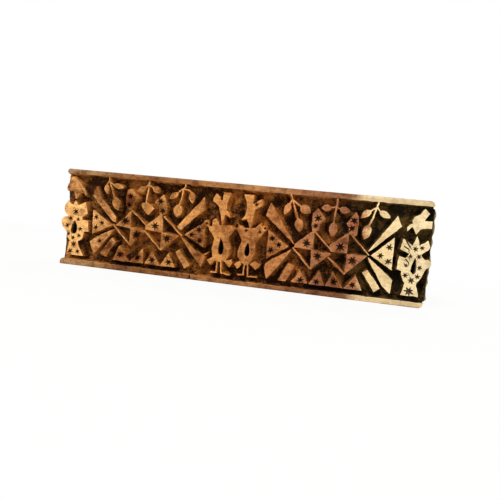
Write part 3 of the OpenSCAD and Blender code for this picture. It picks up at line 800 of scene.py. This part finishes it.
def build_face(material):
    """The face board with its carving: a field of depths closed by the board's sides and back."""
    left, right = -HALF_LENGTH_MM - RULE_START_MM, HALF_LENGTH_MM - RULE_START_MM
    home_x, home_z = np.meshgrid(grid_lines(left, right), grid_lines(0, HEIGHT_MM))
    carving = Carving(home_x, home_z)
    x, z, edge, snapped = carving.snap(home_x, home_z)
    raised, drop, star = carving.measure(x, z)
    raised = np.where(snapped & (np.abs(raised) < ON_EDGE_MM), 0, raised)
    pit_edge = np.minimum(drop, star)
    pit_edge = np.where(snapped & (np.abs(pit_edge) < ON_EDGE_MM), 0, pit_edge)
    border = np.minimum(home_z, HEIGHT_MM - home_z)
    depth = face_depth(x, z, right, border, raised, drop, star)
    x = shaped_ends(x, z, home_x, left, right, depth)
    kind = np.where(snapped, 0, np.sign(edge))
    vertices, faces = board_mesh(x, z, home_x, home_z, depth, kind)
    board = make_object("carved_face_board", vertices, faces, material)
    thin(board, KEPT_TRIANGLES)
    co = np.clip(read_rows(board.data.vertices, "co"), face_low, face_high)
    board.data.vertices.foreach_set("co", co.ravel())

    # Each vertex takes the marks of the nearest grid point
    co /= MM
    rows, columns = x.shape
    column = np.interp(co[:, 0] - RULE_START_MM, home_x[0], np.arange(columns))
    row = np.interp(co[:, 2], home_z[:, 0], np.arange(rows))
    row, column = np.rint(row).astype(int), np.rint(column).astype(int)
    for name, marks in face_marks(x, z, raised, drop, pit_edge).items():
        record(board, name, marks[row, column])
    at_border = (row == 0) | (row == rows - 1) | (column == 0) | (column == columns - 1)
    at_end = (column < END_COLUMNS) | (column >= columns - END_COLUMNS)
    behind = co[:, 1] - FACE_Y / MM - depth[row, column]
    record(board, "side", np.maximum(at_border, np.clip(behind - 0.4, 0, 1) * at_end))
    shade_by_angle(board, 38)
    stands_for(board, "face_board")


def read_rows(items, key):
    values = np.zeros(len(items) * 3)
    items.foreach_get(key, values)
    return values.reshape(-1, 3)


def record(piece, name, values):
    """Keep a value for each vertex, for the finish to use."""
    attribute = piece.data.attributes.new(name, "FLOAT", "POINT")
    attribute.data.foreach_set("value", values.astype(np.float32))


def modify(piece, name, kind, **settings):
    modifier = piece.modifiers.new(name, kind)
    for key, value in settings.items():
        setattr(modifier, key, value)


def thin(piece, triangles):
    """Join the piece's flattest triangles until only so many are left."""
    piece.data.calc_loop_triangles()
    modify(piece, "triangles", "TRIANGULATE")
    modify(piece, "fewer", "DECIMATE", ratio=triangles / len(piece.data.loop_triangles))
    bake(piece)


def bake(piece):
    """Apply the piece's modifiers."""
    graph = bpy.context.evaluated_depsgraph_get()
    mesh = bpy.data.meshes.new_from_object(piece.evaluated_get(graph))
    old = piece.data
    piece.modifiers.clear()
    piece.data = mesh
    name = old.name
    bpy.data.meshes.remove(old)
    mesh.name = name


def shade_by_angle(piece, degrees):
    mesh = piece.data
    mesh.shade_smooth()
    mesh.set_sharp_from_angle(angle=math.radians(degrees))


def stands_for(piece, node):
    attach(piece, "root")
    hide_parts(node)


# Finishes. Tones along the face: distance from the left tips of the rails in millimetres, colour.
# The pale tops and rails from about 185 mm on are painted light, a brighter pool of light on the
# right end
TOP_TONES = [
    (0, 252, 198, 126), (15, 248, 194, 124), (22, 218, 162, 98), (60, 212, 154, 90),
    (112, 214, 150, 84), (140, 208, 144, 86), (160, 188, 130, 88), (184.5, 188, 128, 88),
    (189, 243, 213, 157), (204, 244, 223, 173), (221, 238, 218, 174)]
RAIL_TONES = [
    (0, 182, 148, 106), (22, 164, 125, 81), (48, 152, 104, 60), (72, 158, 109, 63),
    (95, 172, 121, 73), (130, 177, 128, 82), (150, 164, 114, 76), (172, 144, 99, 65),
    (180.5, 156, 110, 74), (185, 232, 206, 160), (200, 222, 199, 154), (221, 218, 196, 153)]
# The ground's pale and dark tones, between which random mottling and its painted shade pick
LIGHT_TONES = [
    (0, 198, 130, 62), (30, 194, 123, 56), (60, 196, 123, 53), (90, 202, 128, 55),
    (120, 206, 128, 54), (150, 212, 134, 63), (172, 188, 120, 58), (184, 128, 92, 44),
    (221, 116, 90, 44)]
DARK_TONES = [
    (0, 54, 28, 10), (60, 52, 26, 8), (120, 50, 24, 7), (160, 43, 22, 8), (184, 31, 22, 10),
    (221, 28, 22, 11)]
# Near-black painted shade for the punched holes and the curls' middles
PIT_SHADE_TONE = srgb(30, 15, 5)
SIDE_TONE = srgb(176, 124, 78)
RAIL_EDGES_MM = (3.9, 56.4)
PALE_END_MM = (184.5, 189)
WORN_END_MM = (220.7, 221.4)
MIDDLE_ROW_MM = 27
YEAR_MM = 2.7
PEG_RING_MM = 0.7


def year_rings(r, place, across, heart):
    """0 to 1 over each year's growth round the tree's heart, a point in millimetres."""
    off_heart = r.vector("ADD", place, tuple(-v * MM for v in heart))
    off_heart = r.length(r.scaled(off_heart, *across))
    bent = r.noise(r.scaled(place, *(8 + 30 * v for v in across)), 1.0, 3, 0.5)
    off_heart = r.math("ADD", off_heart, r.between(bent, 0.25, 0.75, -7 * MM, 7 * MM))
    return r.math("FRACT", r.math("MULTIPLY", off_heart, 1 / (YEAR_MM * MM)))


def carved_wood():
    r = Recipe("carved_face_wood")
    place = r.place()
    rule, depth, height = r.axes(place)
    coarse = r.noise(place, 60, 4, 0.6)
    along = r.math("ADD", rule, r.between(coarse, 0.3, 0.7, -0.003, 0.003))
    off_middle = r.math("ABSOLUTE", r.math("SUBTRACT", height, MIDDLE_ROW_MM * MM))
    along = r.math("ADD", along, r.math("MULTIPLY", off_middle, 0.14))
    share = r.between(along, at_rule(0), at_rule(RULE_END_MM))
    top, rail, light, dark = (
        r.ramp(share, [(x / RULE_END_MM, srgb(*tone)) for x, *tone in tones])
        for tones in (TOP_TONES, RAIL_TONES, LIGHT_TONES, DARK_TONES))
    is_rail = r.math("MAXIMUM", r.math("LESS_THAN", height, RAIL_EDGES_MM[0] * MM),
                     r.math("GREATER_THAN", height, RAIL_EDGES_MM[1] * MM))
    grain = r.noise(r.scaled(place, 90, 900, 900), 1.0, 4, 0.6, 0.3)
    pores = r.noise(r.scaled(place, 300, 5200, 5200), 1.0, 2, 0.5)
    chisel = r.noise(r.scaled(place, 1100, 140, 1100), 1.0, 2, 0.6)
    patches = r.noise(place, 180, 4, 0.62)
    clouds = r.noise(place, 55, 3, 0.6)
    flecks = r.noise(place, 640, 2, 0.6)
    specks = r.add("TexVoronoi", {"Vector": r.scaled(place, 1, 1.5, 1.5), "Scale": 420.0},
                   out="Distance")

    # What prints: worn wood, mottled and specked
    plain = r.mix(is_rail, top, rail)
    top = r.mottled(
        plain, (grain, 0.43, 0.63, 0.55, (0.58, 0.47, 0.37)),
        (patches, 0.5, 0.64, 0.8, (0.45, 0.34, 0.26)), (patches, 0.47, 0.33, 0.8, (1.3, 1.28, 1.2)),
        (clouds, 0.5, 0.64, 0.7, (0.62, 0.5, 0.42)), (flecks, 0.56, 0.68, 0.7, (0.5, 0.38, 0.3)),
        (flecks, 0.44, 0.32, 0.6, (1.3, 1.3, 1.3)), (specks, 0.2, 0.12, 0.7, (0.36, 0.24, 0.16)),
        (pores, 0.54, 0.66, 0.5, (0.5, 0.38, 0.28)))
    # The right end is more even, and its paler tones are painted light
    even = r.between(along, *map(at_rule, PALE_END_MM), 0, 0.5)
    top = r.mix(r.math("MAXIMUM", even, r.math("MULTIPLY", is_rail, 0.05)), top, plain)
    stain = r.between(patches, 0.38, 0.6, 0.7, 1.25)
    stain = r.math("MULTIPLY", r.attribute("stain"), stain, clamp=True)
    top = r.tinted(top, stain, (0.3, 0.17, 0.09))
    # Paler along the edges of what prints: partly worn wood, partly a painted highlight
    top = r.tinted(top, r.between(r.attribute("inside"), 0.05, 0.35, 0.5, 0), (1.42, 1.44, 1.46))

    # Below the surface: brown walls and paler cuts, with painted shade that darkens them towards
    # their feet, in narrow places and to the left of shapes, and painted light on the walls to
    # their right
    outside = r.attribute("outside")
    dabs = r.noise(r.scaled(place, 1, 1, 0.8), 130, 2, 0.5, 0.4)
    shade = r.between(r.products((dabs, 0.4), (chisel, 0.3), (patches, 0.3)), 0.42, 0.6, 0, 0.88)
    for value, low_in, high_in, low_out, high_out in (
            (depth, below(0.5), below(2.2), 0.28, 0),
            (outside, 0.1, 1.1, 0.2, -0.06), (outside, 2.4, 3.8, 0, -0.12),
            (r.attribute("crowd"), 0.38, 0.68, 0.08, -0.55),
            (r.attribute("shadow"), -0.6, 0.6, 0.25, -0.45), (clouds, 0.4, 0.6, 0.1, -0.22)):
        shade = r.math("ADD", shade, r.between(value, low_in, high_in, low_out, high_out))
    edge = r.math("ADD", depth, r.between(grain, 0.3, 0.7, -0.1 * MM, 0.1 * MM))
    edge = r.between(edge, below(0.3), below(0.5))
    colour = r.mix(edge, top, r.mix(shade, dark, light))
    worn_rim = r.between(rule, *map(at_rule, WORN_END_MM), 0, 0.6)
    worn_rim = r.math("MULTIPLY", worn_rim, r.between(depth, below(3), below(4.5), 1, 0))
    colour = r.mix(worn_rim, colour, rail)

    # Sides: bare wood with dye that ran back from the face
    ran = r.math("ADD", depth, r.between(clouds, 0.35, 0.65, -6 * MM, 6 * MM))
    ran = r.between(ran, below(2), BACK_OF_FACE_Y, 0.9, 0.3)
    years = year_rings(r, place, (0, 1, 1), (0, 10, -40))
    years = r.between(years, 0.1, 0.95, 0, 0.6, smooth=True)
    side = r.tinted(r.mix(0.55, rail, SIDE_TONE), years, (0.6, 0.47, 0.36))
    side = r.mottled(side, (grain, 0.42, 0.62, 0.45, (0.55, 0.44, 0.34)))
    side = r.tinted(side, ran, (0.22, 0.14, 0.08))
    is_side = r.between(r.attribute("side"), 0.3, 0.9)
    is_side = r.math("MULTIPLY", is_side, r.between(depth, below(0.4), below(1.2)))
    colour = r.mix(is_side, colour, side)
    # Punched holes and the curls' middles are painted near-black: painted shade in the hollows
    pit = r.attribute("pit")
    hole = r.mix(r.between(pit, 0.78, 0.95), r.mix(0.2, PIT_SHADE_TONE, top), PIT_SHADE_TONE)
    colour = r.mix(r.between(pit, 0.0, 0.5), colour, hole)
    relief = r.products((grain, 0.7), (pores, 0.3), (chisel, r.math("MULTIPLY", edge, 1.4)))
    normal = r.bump(relief, 0.18 * MM, 0.8)
    rough = r.mix(edge, (0.6, 0.6, 0.6, 1), (0.85, 0.85, 0.85, 1))
    return r.finish(Base_Color=colour, Roughness=rough, Normal=normal, Specular_IOR_Level=0.1)


def plain_wood(name, pale, dark, fine, heart, soiled, roughness, shine=0.3):
    """Wood whose grain runs along the axis where the scales in fine are smallest, with its year
    rings round the tree's heart, a point in millimetres. soiled is how far handling and dye
    darkened it, and the attribute worn shows paler wood on its edges."""
    r = Recipe(name)
    place = r.place()
    years = year_rings(r, place, [float(v > min(fine)) for v in fine], heart)
    fibres = r.noise(r.scaled(place, *fine), 1.0, 4, 0.6, 0.2)
    pores = r.noise(r.scaled(place, *(4 * v for v in fine)), 1.0, 2, 0.5)
    clouds = r.noise(place, 38, 5, 0.6)
    marks = r.noise(place, 210, 4, 0.65)
    worn = r.math("MULTIPLY", r.attribute("worn"), r.between(clouds, 0.4, 0.6))
    colour = r.mix(r.between(years, 0.1, 0.95, 0, 0.75, smooth=True), srgb(*pale), srgb(*dark))
    colour = r.mottled(
        colour, (fibres, 0.42, 0.66, 0.75, (0.62, 0.52, 0.42)),
        (pores, 0.56, 0.68, 0.7, (0.4, 0.3, 0.22)), (clouds, 0.35, 0.68, soiled, (0.3, 0.21, 0.16)),
        (marks, 0.56, 0.7, 0.6, (0.4, 0.3, 0.24)))
    colour = r.tinted(colour, worn, (1.9, 1.8, 1.65))
    normal = r.bump(r.products((fibres, 0.6), (pores, 0.4)), 0.12 * MM, 0.6)
    gloss = r.between(clouds, 0.35, 0.65, roughness - 0.08, roughness + 0.1)
    return r.finish(Base_Color=colour, Roughness=gloss, Normal=normal, Specular_IOR_Level=shine)


def end_grain(name, pale, dark, centres):
    """The cut ends of pegs, with rings round the nearest of their middles."""
    r = Recipe(name)
    place = r.place()
    x, _, z = r.axes(place)
    z = r.math("SUBTRACT", z, HEIGHT_MM / 2 * MM)
    dx, dz = (r.math("SUBTRACT", r.math("ABSOLUTE", off), centre * MM)
              for off, centre in zip((x, z), centres))
    off = r.math("SQRT", r.products((dx, dx), (dz, dz)))
    off = r.math("ADD", off, r.between(r.noise(place, 260, 2, 0.5), 0.3, 0.7, -0.0005, 0.0005))
    ring = r.math("FRACT", r.math("MULTIPLY", off, 1 / (PEG_RING_MM * MM)))
    speckle = r.noise(place, 2600, 2, 0.5)
    colour = r.mix(r.between(ring, 0.1, 0.95, smooth=True), srgb(*pale), srgb(*dark))
    colour = r.mottled(colour, (speckle, 0.5, 0.7, 0.8, (0.4, 0.3, 0.25)),
                       (off, 3.4 * MM, 4.1 * MM, 0.8, (0.25, 0.18, 0.14)))
    normal = r.bump(r.math("ADD", ring, speckle), 0.06 * MM, 0.6)
    return r.finish(Base_Color=colour, Roughness=0.7, Normal=normal, Specular_IOR_Level=0.25)


def rusted_iron(name):
    r = Recipe(name)
    place = r.place()
    rust = r.between(r.noise(place, 420, 6, 0.7), 0.42, 0.6)
    fine = r.noise(place, 1800, 3, 0.6)
    red = r.mix(r.between(fine, 0.35, 0.65), srgb(112, 58, 28), srgb(58, 32, 20))
    colour = r.mix(rust, srgb(70, 66, 62), red)
    metal = r.between(rust, 0.2, 0.7, 0.9, 0.1)
    rough = r.between(rust, 0.0, 1.0, 0.38, 0.85)
    normal = r.bump(r.math("ADD", rust, r.math("MULTIPLY", fine, 0.5)), 0.08 * MM, 0.8)
    return r.finish(Base_Color=colour, Metallic=metal, Roughness=rough, Normal=normal)


# The other pieces
HANDLE_VOXEL = 0.75 * MM
PEG_PLAY = 0.02 * MM
PEG_DOMES_MM = {"upper_left": 0.35, "upper_right": 0.2, "lower_left": 0.3, "lower_right": 0.25}


def copy_of(node, name, material):
    """A welded copy of a solid, with its flat faces whole again."""
    form = bmesh.new()
    form.from_mesh(frame["nodes"][node].data)
    bmesh.ops.remove_doubles(form, verts=form.verts, dist=1e-6)
    bmesh.ops.dissolve_limit(form, angle_limit=math.radians(1), verts=form.verts, edges=form.edges)
    mesh = bpy.data.meshes.new(name)
    form.to_mesh(mesh)
    form.free()
    mesh.materials.clear()
    mesh.materials.append(material)
    return put_in_scene(name, mesh)


def eased_copy(node, name, reach_mm, material):
    """The solid with its edges worn round by reach_mm."""
    piece = copy_of(node, name, material)
    modify(piece, "worn edges", "BEVEL", width=reach_mm * MM, segments=3, limit_method="ANGLE",
           angle_limit=math.radians(40))
    modify(piece, "triangles", "TRIANGULATE")
    bake(piece)
    shade_by_angle(piece, 50)
    stands_for(piece, node)


def build_handle(material):
    """The grip, whittled and worn smooth: a fine even mesh whose surface wanders a little."""
    piece = copy_of("handle", "worn_handle", material)
    modify(piece, "even", "REMESH", mode="VOXEL", voxel_size=HANDLE_VOXEL)
    modify(piece, "soft", "SMOOTH", iterations=4)
    bake(piece)
    mesh = piece.data
    co = read_rows(mesh.vertices, "co")
    normal = read_rows(mesh.vertex_normals, "vector")
    x, y, z = (co / MM).T
    # Long shallow knife cuts, deepest on the rises, and none where the tabs lie on the board
    cuts = gouge_cuts(x, z + y, 14, 4.5, 0.12, 61) ** 2 + 0.4 * drift(x, z - y, 7, 62)
    sunk = np.clip(0.16 + 0.14 * cuts, 0.02, 0.5) * np.clip((y - SEAT_Y_MM) / 1.5, 0, 1)
    co = co - normal * sunk[:, None] * MM
    mesh.vertices.foreach_set("co", co.ravel())
    mesh.update()
    record(piece, "worn", np.clip((y - 30) / 6, 0, 1))
    mesh.shade_smooth()
    stands_for(piece, "handle")


def peg_tree(material):
    """Geometry Nodes that make one peg: a rod whose outer end is a little domed, turned to lie
    along the block's thickness at its place."""
    tree = bpy.data.node_groups.new("peg", "GeometryNodeTree")
    names = {}
    for name in ("Across", "Length", "Dome", "Turn", "Place"):
        kind = "NodeSocketVector" if name == "Place" else "NodeSocketFloat"
        socket = tree.interface.new_socket(name=name, in_out="INPUT", socket_type=kind)
        names[name] = socket.identifier
    tree.interface.new_socket(name="Geometry", in_out="OUTPUT", socket_type="NodeSocketGeometry")
    n = Nodes(tree)
    given = n.node("NodeGroupInput").outputs

    def grow(kind, inputs=None, **settings):
        return n.add(kind, inputs, family="GeometryNode", **settings)

    rod = grow("MeshCylinder", {"Vertices": 40, "Side Segments": 2, "Fill Segments": 8,
                                "Radius": given["Across"], "Depth": given["Length"]},
               fill_type="TRIANGLE_FAN")
    # The dome falls off with the square of the distance from the middle
    x, y, height = n.axes(grow("InputPosition"))
    across = n.math("MULTIPLY", given["Across"], given["Across"])
    share = n.math("DIVIDE", n.products((x, x), (y, y)), across)
    rise = n.math("MULTIPLY", n.math("SUBTRACT", 1.0, share), given["Dome"])
    upper = n.add("Compare", {0: height, 1: 0.0001}, family="FunctionNode",
                  operation="GREATER_THAN")
    domed = grow("SetPosition", {"Geometry": rod, "Selection": upper,
                                 "Offset": n.add("CombineXYZ", {2: rise})})
    turned = n.add("CombineXYZ", {0: math.radians(-90), 1: given["Turn"]})
    point = grow("Points", {"Count": 1, "Position": given["Place"]})
    peg = grow("InstanceOnPoints", {"Points": point, "Instance": domed, "Rotation": turned})
    peg = grow("SetMaterial", {0: grow("RealizeInstances", {0: peg}), "Material": material})
    n.node("NodeGroupOutput", {0: peg})
    return tree, names


def build_pegs(material):
    """The four pegs' domed ends, cut off almost flush and then worn with the board."""
    tree, names = peg_tree(material)
    for i, (corner, dome) in enumerate(PEG_DOMES_MM.items()):
        low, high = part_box("dowel_" + corner)
        piece = make_object("peg_" + corner, [(0, 0, 0)], [], material)
        grow = piece.modifiers.new("peg", "NODES")
        grow.node_group = tree
        for name, value in (("Across", (high.x - low.x) / 2 - PEG_PLAY),
                            ("Length", high.y - low.y), ("Dome", dome * MM),
                            ("Turn", 0.7 * i), ("Place", tuple((low + high) / 2))):
            grow[names[name]] = value
        bake(piece)
        piece.data.materials.clear()
        piece.data.materials.append(material)
        piece.data.polygons.foreach_set("material_index", [0] * len(piece.data.polygons))
        shade_by_angle(piece, 40)
        stands_for(piece, "dowel_" + corner)


place_camera()
make_stage()
build_face(carved_wood())

core_wood = plain_wood("core_wood", (214, 170, 118), (168, 116, 68),
                       fine=(900, 900, 80), heart=(20, 50, 0), soiled=0.75, roughness=0.7)
back_wood = plain_wood("back_wood", (176, 120, 74), (124, 76, 42),
                       fine=(70, 900, 900), heart=(0, 48, 22), soiled=0.9, roughness=0.6)
handle_wood = plain_wood("handle_wood", (172, 112, 66), (116, 66, 34), fine=(70, 900, 900),
                         heart=(0, 70, 38), soiled=0.8, roughness=0.42, shine=0.45)
peg_wood = end_grain("dowel_wood", (206, 160, 108), (140, 92, 54), centres=(94.5, 17))
iron = rusted_iron("screw_iron")

for side in ("left", "middle", "right"):
    eased_copy("core_board_" + side, "eased_core_board_" + side, 0.35, core_wood)
eased_copy("back_board", "eased_back_board", 0.7, back_wood)
build_handle(handle_wood)
for side in ("left", "right"):
    eased_copy("handle_screw_" + side, "worn_screw_" + side, 0.15, iron)
build_pegs(peg_wood)

bpy.context.scene.view_settings.view_transform = "Standard"
